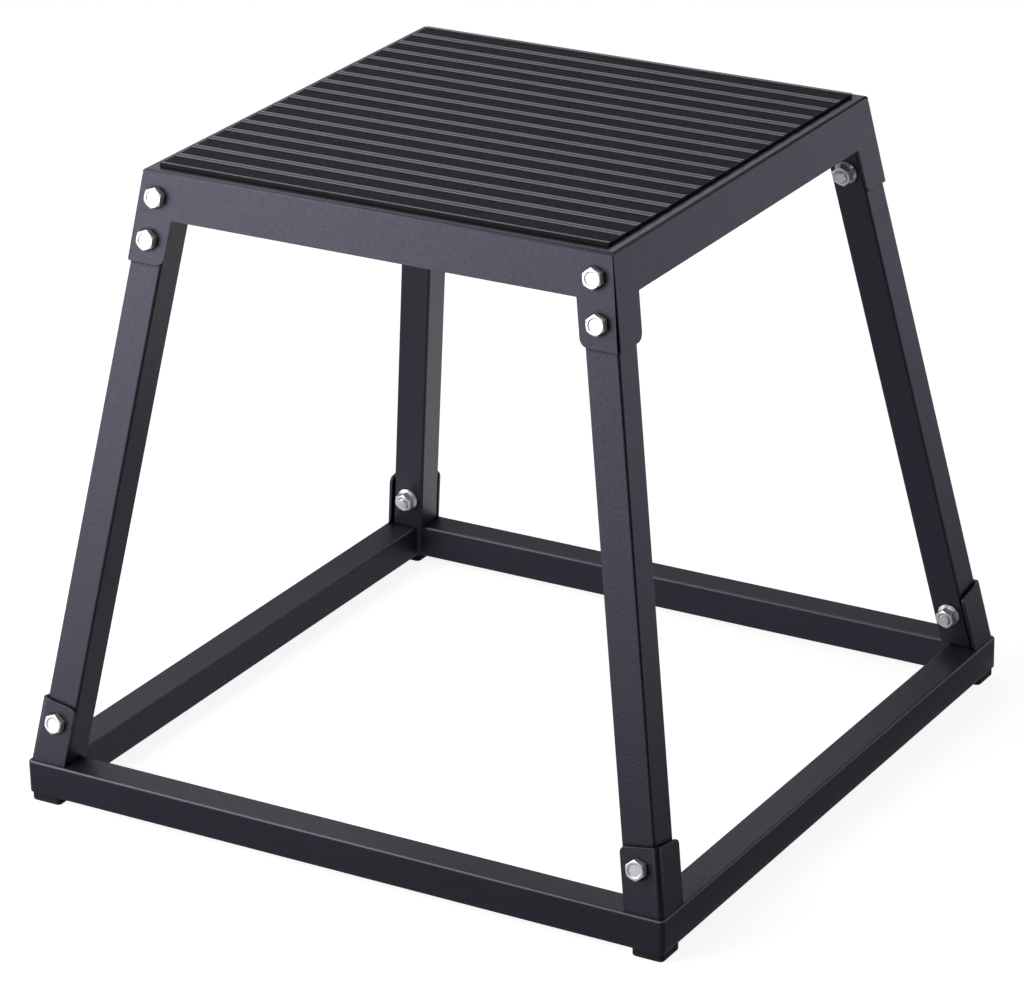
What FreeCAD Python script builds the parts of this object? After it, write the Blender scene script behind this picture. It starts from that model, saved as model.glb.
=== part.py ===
import FreeCAD, Part
import math
import os

# Pyramid plyo box in millimetres: +X to the right along the front, +Y to the rear, +Z up.
# The origin is on the floor, under the middle of the deck.

# Overall sizes
deck_height = 457.0  # floor to the top of the steel deck
deck_span = 361.0  # across the deck, between the sharp edges of its folds
base_span = 508.0  # across the base frame, outside to outside

# Square steel tube of the legs and the base rails
tube = 25.0
tube_wall = 2.0
tube_round = 1.8  # outside radius of the tube's corners
base_corner = 3.5  # radius of the base frame's ground outer corners

# Folded deck sheet with four sloping flanges and two ears at each corner
sheet = 2.0
fold_inside = 2.0  # inside radius of the folds
flange_drop = 32.0  # deck top to the lower edge of a flange
ear_drop = 63.5  # deck top to the foot of an ear
ear_width = 29.5
ear_corner = 6.5
seam_top = 0.8  # gap between two flanges just under the folds
seam_foot = 3.0  # the same gap at the foot of the ears
relief_radius = 1.2  # relief hole where two folds meet

# Folded corner sockets that stand on the base frame and hold the legs
socket_wall = 2.5
socket_leaf = 29.0  # outside width of each leaf
socket_height = 47.5  # along the leg, above the base frame
socket_corner = 4.0
socket_inset = 2.2  # front leaf behind the face of the base frame
socket_side_gap = 1.0  # play between a leg and the socket's side leaf

# Rubber pads under the corners of the base frame
foot_height = 6.0
foot_span = 24.0
foot_corner = 3.5  # chamfer on a pad's upright corners
foot_edge = 1.2  # chamfer round a pad's lower edge
foot_inset = 1.2

# Ribbed rubber mat on the deck, with half a rib along its front and rear edges
mat_span = 345.0
mat_thickness = 2.0
rib_bays = 17
rib_width = 7.0
rib_height = 1.0
rib_side_run = 0.6  # run of a rib's sloping side
groove_width = 1.0  # fine groove along the middle of a rib
groove_depth = 0.5

# Hexagon bolts and nuts
bolt_diameter = 8.0
bolt_slack = 1.0  # a bolt's hole is this much wider than the bolt
thread_slack = 0.4  # a nut's bore is this much wider than the bolt
thread_end = 1.5  # length of bolt past its nut
hex_across = 13.0
head_height = 5.3
nut_height = 8.0
upper_bolt_drop = 16.5  # along the leg, below the deck top
lower_bolt_drop = 46.5
base_bolt_rise = 33.0  # along the leg, above the base frame

# Fits
seat_gap = 0.3
overrun = 10.0  # how far a cutting shape runs past what it cuts

# Sizes that follow from the ones above
fold_outside = fold_inside + sheet
rail_top = foot_height + tube
leg_top = deck_height - sheet - fold_inside - seat_gap
flange_low = deck_height - flange_drop
ear_low = deck_height - ear_drop
rib_pitch = mat_span / rib_bays

# The sloping faces run from the deck's folds to the socket leaves on the base frame
face_rise = deck_height - rail_top
face_run = base_span / 2 - socket_inset - deck_span / 2
wall_turn = math.asin((socket_wall - sheet) / math.hypot(face_run, face_rise))
tilt = math.atan2(face_run, face_rise) - wall_turn
slope = math.tan(tilt)

V = FreeCAD.Vector
origin = V(0, 0, 0)
along_x = V(1, 0, 0)
along_y = V(0, 1, 0)
along_z = V(0, 0, 1)


def half_width(height, inset):
    """Half the distance between two opposite sloping faces, each set in square to itself."""
    return deck_span / 2 + slope * (deck_height - height) - inset / math.cos(tilt)


# The front right leg's own frame: x out to the side, y into the box, z up along the leg's outer corner
leg_up = V(-slope, slope, 1).normalize()
leg_in = V(0, math.cos(tilt), -math.sin(tilt))
leg_side = leg_in.cross(leg_up)
leg_start = V(half_width(deck_height, sheet), -half_width(deck_height, sheet), deck_height)
leg_frame = FreeCAD.Placement(FreeCAD.Matrix(
    leg_side.x, leg_in.x, leg_up.x, leg_start.x,
    leg_side.y, leg_in.y, leg_up.y, leg_start.y,
    leg_side.z, leg_in.z, leg_up.z, leg_start.z,
    0, 0, 0, 1))
leg_foot = -face_rise / leg_up.z  # where that corner meets the base frame, in the leg's frame

# Mirror signs along X and Y that carry a front right piece to each corner
corners = {
    "front_right": (1, 1),
    "front_left": (-1, 1),
    "rear_right": (1, -1),
    "rear_left": (-1, -1),
}


def rounded_face(outline):
    """Flat face through a loop of (point, radius) pairs, each corner rounded to its radius."""
    count = len(outline)
    bends = []
    for index, (point, radius) in enumerate(outline):
        back = (outline[index - 1][0] - point).normalize()
        ahead = (outline[(index + 1) % count][0] - point).normalize()
        half_angle = back.getAngle(ahead) / 2
        trim = radius / math.tan(half_angle)
        depth = radius / math.sin(half_angle) - radius
        middle = point + (back + ahead).normalize() * depth
        bends.append((point + back * trim, middle, point + ahead * trim, radius))
    edges = []
    for index, (start, middle, end, radius) in enumerate(bends):
        if radius > 0:
            edges.append(Part.Arc(start, middle, end).toShape())
        edges.append(Part.LineSegment(end, bends[(index + 1) % count][0]).toShape())
    return Part.Face(Part.Wire(edges))


def plan_face(outline, height):
    """Level face from (x, y, radius) corners."""
    return rounded_face([(V(x, y, height), radius) for x, y, radius in outline])


def front_face(outline):
    """Upright face in the XZ plane from (x, z, radius) corners."""
    return rounded_face([(V(x, 0, z), radius) for x, z, radius in outline])


def side_face(outline):
    """Upright face in the YZ plane from (y, z, radius) corners."""
    return rounded_face([(V(0, y, z), radius) for y, z, radius in outline])


def square_outline(low_x, low_y, span, radius):
    """Corners of a square whose four corners share one radius."""
    high_x = low_x + span
    high_y = low_y + span
    places = [(low_x, low_y), (high_x, low_y), (high_x, high_y), (low_x, high_y)]
    return [(x, y, radius) for x, y in places]


def front_to_rear(face):
    """Solid from a face in the XZ plane, run through the whole box."""
    solid = face.extrude(along_y * (2 * base_span))
    solid.translate(along_y * -base_span)
    return solid


def turned(shape, degrees):
    """Copy of a shape turned about the box's upright axis."""
    copy = shape.copy()
    copy.rotate(origin, along_z, degrees)
    return copy


def both_ways(face):
    """Solid whose front view and side view are both the given face."""
    solid = front_to_rear(face)
    return solid.common(turned(solid, 90))


def level_slab(low, high):
    """Everything in and around the box between two heights."""
    return Part.makeBox(2 * base_span, 2 * base_span, high - low, V(-base_span, -base_span, low))


def in_leg_frame(shape):
    """Copy of a shape, carried from the leg's own frame to the front right corner."""
    copy = shape.copy()
    copy.Placement = leg_frame * copy.Placement
    return copy


def at_corner(shape, corner):
    """Copy of a front right piece, mirrored to the named corner."""
    side, end = corners[corner]
    copy = shape.copy()
    if side < 0:
        copy = copy.mirror(origin, along_x)
    if end < 0:
        copy = copy.mirror(origin, along_y)
    return copy


def at_all_corners(shapes):
    """One compound of the shapes at every corner."""
    return Part.makeCompound([at_corner(shape, corner) for corner in corners for shape in shapes])


def bolt_bore(station):
    """Front right hole for a bolt across the leg, at a place along the leg."""
    radius = (bolt_diameter + bolt_slack) / 2
    length = tube + 2 * overrun
    return in_leg_frame(Part.makeCylinder(radius, length, V(-tube / 2, -overrun, station), along_y))


deck_stations = (-upper_bolt_drop, -lower_bolt_drop)
base_stations = (leg_foot + base_bolt_rise,)


def hipped_face(top, low, inset, radius):
    """Front view of the sloping box down to a height, with its two top corners rounded."""
    top_half = half_width(top, inset)
    low_half = half_width(low, inset)
    return front_face([
        (-low_half, low, 0), (low_half, low, 0), (top_half, top, radius), (-top_half, top, radius)])


def flange_view():
    """Front view of a flange with an ear at each end, open past the ends and above the deck."""
    reach = half_width(ear_low, 0) + overrun
    above = deck_height + overrun
    ear_top_x = half_width(flange_low, 0) - ear_width
    ear_low_x = half_width(ear_low, 0) - ear_width
    return front_face([
        (-reach, above, 0), (-reach, ear_low, 0),
        (-ear_low_x, ear_low, ear_corner), (-ear_top_x, flange_low, 0),
        (ear_top_x, flange_low, 0), (ear_low_x, ear_low, ear_corner),
        (reach, ear_low, 0), (reach, above, 0)])


def corner_seam():
    """Tapered gap with a relief hole at its top, run through two opposite corners' meeting flanges."""
    seam_high = deck_height - fold_outside - relief_radius
    below = ear_low - overrun
    top_half = seam_top / 2
    foot_half = seam_foot / 2
    gap = front_to_rear(front_face([
        (-top_half, seam_high, 0), (-foot_half, ear_low, 0), (-foot_half, below, 0),
        (foot_half, below, 0), (foot_half, ear_low, 0), (top_half, seam_high, 0)]))
    relief = Part.makeCylinder(relief_radius, 2 * base_span, V(0, -base_span, seam_high), along_y)
    return gap.fuse(relief)


def make_deck_pan():
    """Deck sheet folded down on four sides, with eared flanges that part at the corners."""
    skin = both_ways(hipped_face(deck_height, ear_low - overrun, 0, fold_outside))
    hollow = both_ways(hipped_face(deck_height - sheet, ear_low - 2 * overrun, sheet, fold_inside))
    pan = skin.cut(hollow).common(both_ways(flange_view()))
    seam = corner_seam()
    pan = pan.cut(turned(seam, 45)).cut(turned(seam, -45))
    return pan.cut(at_all_corners([bolt_bore(station) for station in deck_stations]))


def make_tread_mat():
    """Rubber mat with ribs from side to side, each full rib parted by a fine groove."""
    half = mat_span / 2
    land = deck_height + mat_thickness
    crest = land + rib_height
    groove = crest - groove_depth
    near = rib_width / 2
    foot = near + rib_side_run
    slit = groove_width / 2
    outline = [(half, deck_height), (half, crest), (half - near, crest), (half - foot, land)]
    for index in range(rib_bays - 1, 0, -1):
        middle = index * rib_pitch - half
        outline += [
            (middle + foot, land), (middle + near, crest), (middle + slit, crest), (middle + slit, groove),
            (middle - slit, groove), (middle - slit, crest), (middle - near, crest), (middle - foot, land)]
    outline += [(foot - half, land), (near - half, crest), (-half, crest), (-half, deck_height)]
    mat = side_face([(y, z, 0) for y, z in outline]).extrude(along_x * mat_span)
    mat.translate(along_x * -half)
    return mat


def make_leg():
    """Front right leg: square tube cut level at the base frame and just under the deck."""
    outside = plan_face(square_outline(-tube, 0, tube, tube_round), leg_foot - tube)
    bore = plan_face(square_outline(tube_wall - tube, tube_wall, tube - 2 * tube_wall, 0), leg_foot - tube)
    run = in_leg_frame(outside.cut(bore).extrude(along_z * (2 * tube - leg_foot)))
    leg = run.common(level_slab(rail_top, leg_top))
    return leg.cut(Part.makeCompound([bolt_bore(station) for station in deck_stations + base_stations]))


def make_leg_socket():
    """Front right socket: angle folded round the leg's outer corner, cut level on the base frame."""
    low = leg_foot - tube
    high = leg_foot + socket_height
    right = socket_side_gap + socket_wall
    left = right - socket_leaf
    rear = socket_leaf - socket_wall
    fold = tube_round + socket_wall
    angle = plan_face([
        (left, -socket_wall, 0), (right, -socket_wall, fold), (right, rear, 0), (socket_side_gap, rear, 0),
        (socket_side_gap, 0, tube_round), (left, 0, 0)], low).extrude(along_z * (high - low))
    front_view = front_face([
        (left, low, 0), (right + overrun, low, 0), (right + overrun, high, 0), (left, high, socket_corner)])
    side_view = side_face([
        (-socket_wall - overrun, low, 0), (rear, low, 0), (rear, high, socket_corner),
        (-socket_wall - overrun, high, 0)])
    side_run = side_view.extrude(along_x * (2 * base_span))
    side_run.translate(along_x * -base_span)
    socket = in_leg_frame(angle.common(front_to_rear(front_view)).common(side_run))
    socket = socket.common(level_slab(rail_top, deck_height))
    return socket.cut(Part.makeCompound([bolt_bore(station) for station in base_stations]))


def make_front_rail():
    """Front rail of the base frame: square tube mitred at both ends, its outer corners rounded."""
    half = base_span / 2
    inner = half - tube
    outside = side_face(square_outline(-half, foot_height, tube, tube_round))
    bore = side_face(square_outline(tube_wall - half, foot_height + tube_wall, tube - 2 * tube_wall, 0))
    run = outside.cut(bore).extrude(along_x * base_span)
    run.translate(along_x * -half)
    mitre = plan_face([(-half, -half, 0), (half, -half, 0), (inner, -inner, 0), (-inner, -inner, 0)], 0)
    frame = plan_face(square_outline(-half, -half, base_span, base_corner), 0)
    return run.common(mitre.extrude(along_z * deck_height)).common(frame.extrude(along_z * deck_height))


def make_foot():
    """Front right rubber pad with its upright corners and its lower edge chamfered."""
    outer = base_span / 2 - foot_inset
    pad = Part.makeBox(foot_span, foot_span, foot_height, V(outer - foot_span, -outer, 0))
    upright_edges = [edge for edge in pad.Edges if edge.BoundBox.ZLength > foot_height / 2]
    pad = pad.makeChamfer(foot_corner, upright_edges)
    lower_edges = [edge for edge in pad.Edges if edge.BoundBox.ZMax < foot_height / 2]
    return pad.makeChamfer(foot_edge, lower_edges)


def hexagon(height):
    """Hexagonal prism on the Z axis, from zero up to a height."""
    corner_radius = hex_across / 2 / math.cos(math.pi / 6)
    points = []
    for index in range(6):
        angle = math.pi / 2 + index * math.pi / 3
        points.append((corner_radius * math.cos(angle), corner_radius * math.sin(angle), 0))
    return plan_face(points, 0).extrude(along_z * height)


def make_bolt(grip):
    """Hexagon bolt along Z, with its head below zero and its shank through a grip and a nut."""
    head = hexagon(head_height)
    head.translate(along_z * -head_height)
    length = grip + nut_height + thread_end
    return head.fuse(Part.makeCylinder(bolt_diameter / 2, length, origin, along_z))


def make_nut(grip):
    """Hexagon nut on a bolt, against the far side of the grip."""
    bore_radius = (bolt_diameter + thread_slack) / 2
    nut = hexagon(nut_height).cut(Part.makeCylinder(bore_radius, nut_height, origin, along_z))
    nut.translate(along_z * grip)
    return nut


def fastened(piece, plate, stations):
    """A fastener at each place along every leg, its head against the outside of a plate on the leg."""
    across = FreeCAD.Rotation(along_x, -90)
    placed = []
    for station in stations:
        copy = piece.copy()
        copy.Placement = FreeCAD.Placement(V(-tube / 2, -plate, station), across) * copy.Placement
        placed.append(in_leg_frame(copy))
    return at_all_corners(placed)


def make_fasteners(place, plate, stations):
    """Named bolts and nuts that clamp a plate to the legs."""
    grip = plate + tube
    return {
        place + "_bolts": fastened(make_bolt(grip), plate, stations),
        place + "_nuts": fastened(make_nut(grip), plate, stations),
    }


def make_nodes():
    """Every piece of the box by its name."""
    nodes = {"deck_pan": make_deck_pan(), "tread_mat": make_tread_mat()}
    corner_pieces = {"leg": make_leg(), "leg_socket": make_leg_socket(), "foot": make_foot()}
    for name, piece in corner_pieces.items():
        for corner in corners:
            nodes[name + "_" + corner] = at_corner(piece, corner)
    rail = make_front_rail()
    for quarter, side in enumerate(("front", "right", "rear", "left")):
        nodes["base_rail_" + side] = turned(rail, 90 * quarter)
    nodes.update(make_fasteners("deck", sheet, deck_stations))
    nodes.update(make_fasteners("base", socket_wall, base_stations))
    return nodes


os.makedirs("parts", exist_ok=True)
for node_name, node_shape in make_nodes().items():
    node_shape.exportStep("parts/" + node_name + ".step")
    print(node_name, "solids:", len(node_shape.Solids), "valid:", node_shape.isValid())
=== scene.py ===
"""Looks of a pyramid plyo box.

A ribbed rubber tread lies on a folded steel deck. Four splayed square-tube legs are bolted
to the deck's ears and stand in folded sockets on a mitred base frame with rubber pads.

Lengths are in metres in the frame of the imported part: +X to the right along the front,
+Y to the rear and +Z up, with the origin on the floor under the middle of the deck.
"""

import logging
import math
from collections.abc import Callable, Iterable
from dataclasses import dataclass
from enum import Enum

import bmesh
import bpy
from bmesh.types import BMEdge, BMesh, BMFace, BMVert
from mathutils import Matrix, Vector


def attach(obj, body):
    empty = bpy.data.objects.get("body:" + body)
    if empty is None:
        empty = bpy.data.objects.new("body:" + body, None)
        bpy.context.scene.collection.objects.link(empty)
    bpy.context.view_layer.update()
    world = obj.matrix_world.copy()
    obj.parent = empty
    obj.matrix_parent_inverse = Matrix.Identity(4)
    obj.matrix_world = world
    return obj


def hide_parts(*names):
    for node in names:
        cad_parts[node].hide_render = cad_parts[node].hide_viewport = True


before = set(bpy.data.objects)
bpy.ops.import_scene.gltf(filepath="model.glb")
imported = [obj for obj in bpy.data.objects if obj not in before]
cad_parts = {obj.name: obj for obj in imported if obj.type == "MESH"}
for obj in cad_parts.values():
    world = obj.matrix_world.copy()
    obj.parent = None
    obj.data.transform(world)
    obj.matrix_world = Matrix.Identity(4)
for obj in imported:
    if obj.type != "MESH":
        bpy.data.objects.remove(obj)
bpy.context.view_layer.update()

LOG = logging.getLogger("plyo_box")
BODY = "root"
MERGE = 1e-6  # points closer than this are one point
CREASE = math.radians(30)  # a sharper turn shows as an edge
FLAT_WIDTH = 0.0015  # narrower faces belong to rounded edges
TURN = 2 * math.pi
QUARTER = math.pi / 2
TREAD_SPAN = 0.345
TREAD_BAYS = 17

Colour = tuple[float, float, float]
Point = tuple[float, float, float]
Range = tuple[float, float]
Level = Callable[[float], tuple[float, float]]
Piece = bpy.types.Object
Socket = bpy.types.NodeSocket


class Slot(Enum):
    """Material slots of the part's record."""

    POWDER_COAT = "powder_coat"
    TREAD_RUBBER = "tread_rubber"
    FOOT_RUBBER = "foot_rubber"
    ZINC_PLATE = "zinc_plate"


class Corner(Enum):
    """Corners of the box, as mirror signs along X and Y from the front right one."""

    FRONT_RIGHT = (1, 1)
    FRONT_LEFT = (-1, 1)
    REAR_RIGHT = (1, -1)
    REAR_LEFT = (-1, -1)

    @property
    def label(self) -> str:
        """The corner's name as the nodes spell it."""
        return self.name.lower()

    @property
    def mirror(self) -> Matrix:
        """Mirror that carries a front right shape to this corner."""
        return Matrix.Diagonal((*self.value, 1, 1))


@dataclass(frozen=True)
class BoxSizes:
    """Main sizes that several sub-assemblies share."""

    deck_height: float = 0.457
    deck_span: float = 0.361
    base_span: float = 0.508
    tube: float = 0.025
    tube_wall: float = 0.002
    tube_round: float = 0.0018
    tube_steps: int = 6
    base_corner: float = 0.0035
    sheet: float = 0.002
    foot_height: float = 0.006
    socket_wall: float = 0.0025
    socket_inset: float = 0.0022

    @property
    def rail_top(self) -> float:
        """Height of the base frame's top."""
        return self.foot_height + self.tube

    @property
    def tilt(self) -> float:
        """Lean of the sloping faces from upright.

        Returns:
            The lean, in radians.
        """
        rise = self.deck_height - self.rail_top
        run = self.base_span / 2 - self.socket_inset - self.deck_span / 2
        wall_turn = math.asin((self.socket_wall - self.sheet) / math.hypot(run, rise))
        return math.atan2(run, rise) - wall_turn

    @property
    def slope(self) -> float:
        """Run of the sloping faces for each unit of drop."""
        return math.tan(self.tilt)

    def half_width(self, height: float, inset: float = 0.0) -> float:
        """Half the distance between two opposite sloping faces.

        Args:
            height: Height above the floor.
            inset: How far each face is set in, square to itself.

        Returns:
            The half distance at that height.
        """
        drop = self.deck_height - height
        return self.deck_span / 2 + self.slope * drop - inset / math.cos(self.tilt)

    @property
    def leg_up(self) -> Vector:
        """Direction of the front right leg."""
        return Vector((-self.slope, self.slope, 1)).normalized()

    @property
    def leg_frame(self) -> Matrix:
        """Frame of the front right leg.

        Returns:
            The frame: x to the side, y into the box and z up along the leg.
        """
        inward = Vector((0, math.cos(self.tilt), -math.sin(self.tilt)))
        side = inward.cross(self.leg_up)
        half = self.half_width(self.deck_height, self.sheet)
        turn = Matrix((side, inward, self.leg_up)).transposed().to_4x4()
        return Matrix.Translation((half, -half, self.deck_height)) @ turn

    @property
    def leg_foot(self) -> float:
        """Where the leg's outer corner meets the base frame, along the leg's own z."""
        return (self.rail_top - self.deck_height) / self.leg_up.z


@dataclass(frozen=True)
class Grain:
    """Noise in a finish: its waves to the metre, its octaves and the limits that count."""

    scale: float
    detail: float
    limits: Range = (0.3, 0.7)


class ShaderSheet:
    """A material's node tree, with short ways to add nodes to it."""

    EDGE_SAMPLES = 4
    EDGE_LIMITS = (0.99, 0.85)
    CORNER_SAMPLES = 8
    CORNER_LIMITS = (0.95, 0.5)
    MIX_COLOURS = (6, 7)  # a Mix node's colour inputs, which share their names with others
    MIX_RESULT = 2

    def __init__(self, name: str) -> None:
        """Starts a material with one Principled shader.

        Args:
            name: Name of the material.
        """
        self.material = bpy.data.materials.new(name)
        self.material.use_nodes = True
        tree = self.material.node_tree
        self.nodes = tree.nodes
        self.links = tree.links
        self.nodes.clear()
        self.shader = self.nodes.new("ShaderNodeBsdfPrincipled")
        output = self.nodes.new("ShaderNodeOutputMaterial")
        self.links.new(self.shader.outputs["BSDF"], output.inputs["Surface"])
        self.place = self.nodes.new("ShaderNodeTexCoord").outputs["Object"]

    def set(self, **values: float | Colour) -> None:
        """Sets constant values on the shader's own sockets.

        Args:
            values: Each socket's value, by the socket's name with _ for a space.
        """
        for name, value in values.items():
            socket = self.shader.inputs[name.replace("_", " ").title().replace("Ior", "IOR")]
            socket.default_value = (*value, 1) if isinstance(value, tuple) else value

    def feed(self, name: str, source: Socket) -> None:
        """Joins a node's output to one of the shader's sockets."""
        self.links.new(source, self.shader.inputs[name])

    def noise(self, grain: Grain) -> Socket:
        """Noise over the piece's own coordinates.

        Args:
            grain: Scale and detail of the noise.

        Returns:
            The noise's value, from 0 to 1.
        """
        node = self.nodes.new("ShaderNodeTexNoise")
        node.inputs["Scale"].default_value = grain.scale
        node.inputs["Detail"].default_value = grain.detail
        self.links.new(self.place, node.inputs["Vector"])
        return node.outputs["Fac"]

    def patches(self, grain: Grain, low: float = 0.0, high: float = 1.0) -> Socket:
        """Noise that goes from a low to a high value between its limits."""
        return self.spread(self.noise(grain), grain.limits, low, high)

    def spread(self, source: Socket, limits: Range, low: float = 0.0, high: float = 1.0) -> Socket:
        """Maps a value's range to another one, held at both ends.

        Args:
            source: The value.
            limits: Where the value's range starts and ends.
            low: What the start becomes.
            high: What the end becomes.

        Returns:
            The mapped value.
        """
        node = self.nodes.new("ShaderNodeMapRange")
        names = ("From Min", "From Max", "To Min", "To Max")
        for name, value in zip(names, (*limits, low, high)):
            node.inputs[name].default_value = value
        self.links.new(source, node.inputs["Value"])
        return node.outputs["Result"]

    def product(self, first: Socket, second: Socket) -> Socket:
        """Two values multiplied.

        Args:
            first: One value.
            second: The other one.

        Returns:
            Their product.
        """
        node = self.nodes.new("ShaderNodeMath")
        node.operation = "MULTIPLY"
        self.links.new(first, node.inputs[0])
        self.links.new(second, node.inputs[1])
        return node.outputs["Value"]

    def tint(self, factor: Socket, first: Colour | Socket, second: Colour | Socket) -> Socket:
        """Blend of two colours.

        Args:
            factor: 0 for the first colour, 1 for the second.
            first: A colour, or a node's output.
            second: A colour, or a node's output.

        Returns:
            The blended colour.
        """
        node = self.nodes.new("ShaderNodeMix")
        node.data_type = "RGBA"
        self.links.new(factor, node.inputs[0])
        for number, value in zip(self.MIX_COLOURS, (first, second)):
            if isinstance(value, tuple):
                node.inputs[number].default_value = (*value, 1)
            else:
                self.links.new(value, node.inputs[number])
        return node.outputs[self.MIX_RESULT]

    def bump(self, height: Socket, depth: float) -> Socket:
        """Small relief on the surface.

        Args:
            height: Height of the relief, from 0 to 1.
            depth: What a height of 1 stands for, in metres.

        Returns:
            The normal.
        """
        node = self.nodes.new("ShaderNodeBump")
        node.inputs["Distance"].default_value = depth
        self.links.new(height, node.inputs["Height"])
        return node.outputs["Normal"]

    def edges(self, radius: float) -> Socket:
        """Mask of the surface near its edges.

        Args:
            radius: How far the mask reaches from an edge.

        Returns:
            1 at an edge and 0 away from it.
        """
        rounded = self.nodes.new("ShaderNodeBevel")
        rounded.samples = self.EDGE_SAMPLES
        rounded.inputs["Radius"].default_value = radius
        plain = self.nodes.new("ShaderNodeNewGeometry")
        match = self.nodes.new("ShaderNodeVectorMath")
        match.operation = "DOT_PRODUCT"
        self.links.new(rounded.outputs["Normal"], match.inputs[0])
        self.links.new(plain.outputs["Normal"], match.inputs[1])
        return self.spread(match.outputs["Value"], self.EDGE_LIMITS)

    def corners(self, reach: float) -> Socket:
        """Mask of the surface close to other surfaces.

        Args:
            reach: How far the mask looks from the surface.

        Returns:
            1 deep in a corner, and 0 in the open.
        """
        node = self.nodes.new("ShaderNodeAmbientOcclusion")
        node.samples = self.CORNER_SAMPLES
        node.inputs["Distance"].default_value = reach
        return self.spread(node.outputs["AO"], self.CORNER_LIMITS)

    def along(self, axis: str) -> Socket:
        """Place along an axis.

        Args:
            axis: X, Y or Z.

        Returns:
            The place, in metres.
        """
        node = self.nodes.new("ShaderNodeSeparateXYZ")
        self.links.new(self.place, node.inputs["Vector"])
        return node.outputs[axis]

    def facing_up(self, limits: Range) -> Socket:
        """Mask by how far the surface faces up.

        Args:
            limits: Upward parts of the normal where the mask is 0 and where it is 1.

        Returns:
            The mask.
        """
        node = self.nodes.new("ShaderNodeSeparateXYZ")
        plain = self.nodes.new("ShaderNodeNewGeometry")
        self.links.new(plain.outputs["Normal"], node.inputs["Vector"])
        return self.spread(node.outputs["Z"], limits)

    def from_rib(self, start: float, pitch: float) -> Socket:
        """Distance from the middle of the nearest rib.

        Args:
            start: How far in front of the origin the first rib is.
            pitch: Distance between two ribs.

        Returns:
            The distance, in metres.
        """
        shift = self.nodes.new("ShaderNodeMath")
        shift.operation = "ADD"
        shift.inputs[1].default_value = start
        self.links.new(self.along("Y"), shift.inputs[0])
        swing = self.nodes.new("ShaderNodeMath")
        swing.operation = "PINGPONG"
        swing.inputs[1].default_value = pitch / 2
        self.links.new(shift.outputs["Value"], swing.inputs[0])
        return swing.outputs["Value"]


@dataclass(frozen=True)
class PowderCoat:
    """Satin black powder coat with a fine orange peel, edges lightened by wear and painted
    highlight, and painted shade in inside corners.
    """

    colour: Colour = (0.010, 0.0097, 0.0134)
    cloudy: Colour = (0.012, 0.0117, 0.016)
    # Lighter colour for edges, partly wear and partly a painted highlight; it is also the painted
    # highlight on the base frame's edges.
    rubbed: Colour = (0.130, 0.128, 0.142)
    # Painted shade for inside corners: this darker colour and the weaker gloss below.
    shaded: Colour = (0.003, 0.003, 0.004)
    ior: float = 1.591
    specular: float = 0.5
    shaded_specular: float = 0.077
    gloss_tint: Colour = (0.78, 0.76, 1.0)
    roughness: Range = (0.40, 0.47)
    clouds: Grain = Grain(14, 4, (0.35, 0.65))
    rub_spots: Grain = Grain(120, 3, (0.45, 0.65))
    grain: Grain = Grain(300, 4)
    peel: Grain = Grain(450, 1)
    peel_depth: float = 0.00010
    rub_reach: float = 0.0012
    # Only edges that face up are lightened, so they carry a painted highlight as well as wear.
    highlight_facing: Range = (0.2, 0.6)
    # The ridge limits and the heights below place a painted highlight on the low rounded edges,
    # which are the base frame's.
    ridge_below: Range = (0.35, 0.6)
    ridge_above: Range = (0.95, 0.8)
    rail_highlight_heights: Range = (0.05, 0.04)
    # Reach and facing of the painted shade in inside corners.
    shade_reach: float = 0.003
    shade_facing: Range = (0.9, 0.6)

    def make(self) -> bpy.types.Material:
        """Coat with clouds, then edges lightened by wear and painted highlight, then painted
        highlight on the base frame's edges, then painted shade.

        Returns:
            The material.
        """
        sheet = ShaderSheet("powder_coat_satin")
        coat = sheet.tint(sheet.patches(self.clouds), self.colour, self.cloudy)
        # Edges lightened in spots by wear, and where they face up by a painted highlight.
        edges = sheet.product(sheet.edges(self.rub_reach), sheet.patches(self.rub_spots))
        edge_wear_and_highlight = sheet.product(edges, sheet.facing_up(self.highlight_facing))
        # Painted highlight on the low rounded edges of the base frame.
        ridge = sheet.product(sheet.facing_up(self.ridge_below), sheet.facing_up(self.ridge_above))
        painted_rail_highlight = sheet.product(ridge, sheet.spread(sheet.along("Z"), self.rail_highlight_heights))
        worn_and_highlit = sheet.tint(painted_rail_highlight, sheet.tint(edge_wear_and_highlight, coat, self.rubbed), self.rubbed)
        # Painted shade: inside corners on faces that don't face up get a darker colour and a weaker
        # gloss.
        shade = sheet.product(sheet.corners(self.shade_reach), sheet.facing_up(self.shade_facing))
        sheet.feed("Base Color", sheet.tint(shade, worn_and_highlit, self.shaded))
        shine = sheet.spread(shade, (0, 1), self.specular, self.shaded_specular)
        sheet.feed("Specular IOR Level", shine)
        sheet.feed("Roughness", sheet.patches(self.grain, *self.roughness))
        sheet.feed("Normal", sheet.bump(sheet.noise(self.peel), self.peel_depth))
        sheet.set(ior=self.ior, specular_tint=self.gloss_tint)
        return sheet.material


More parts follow.
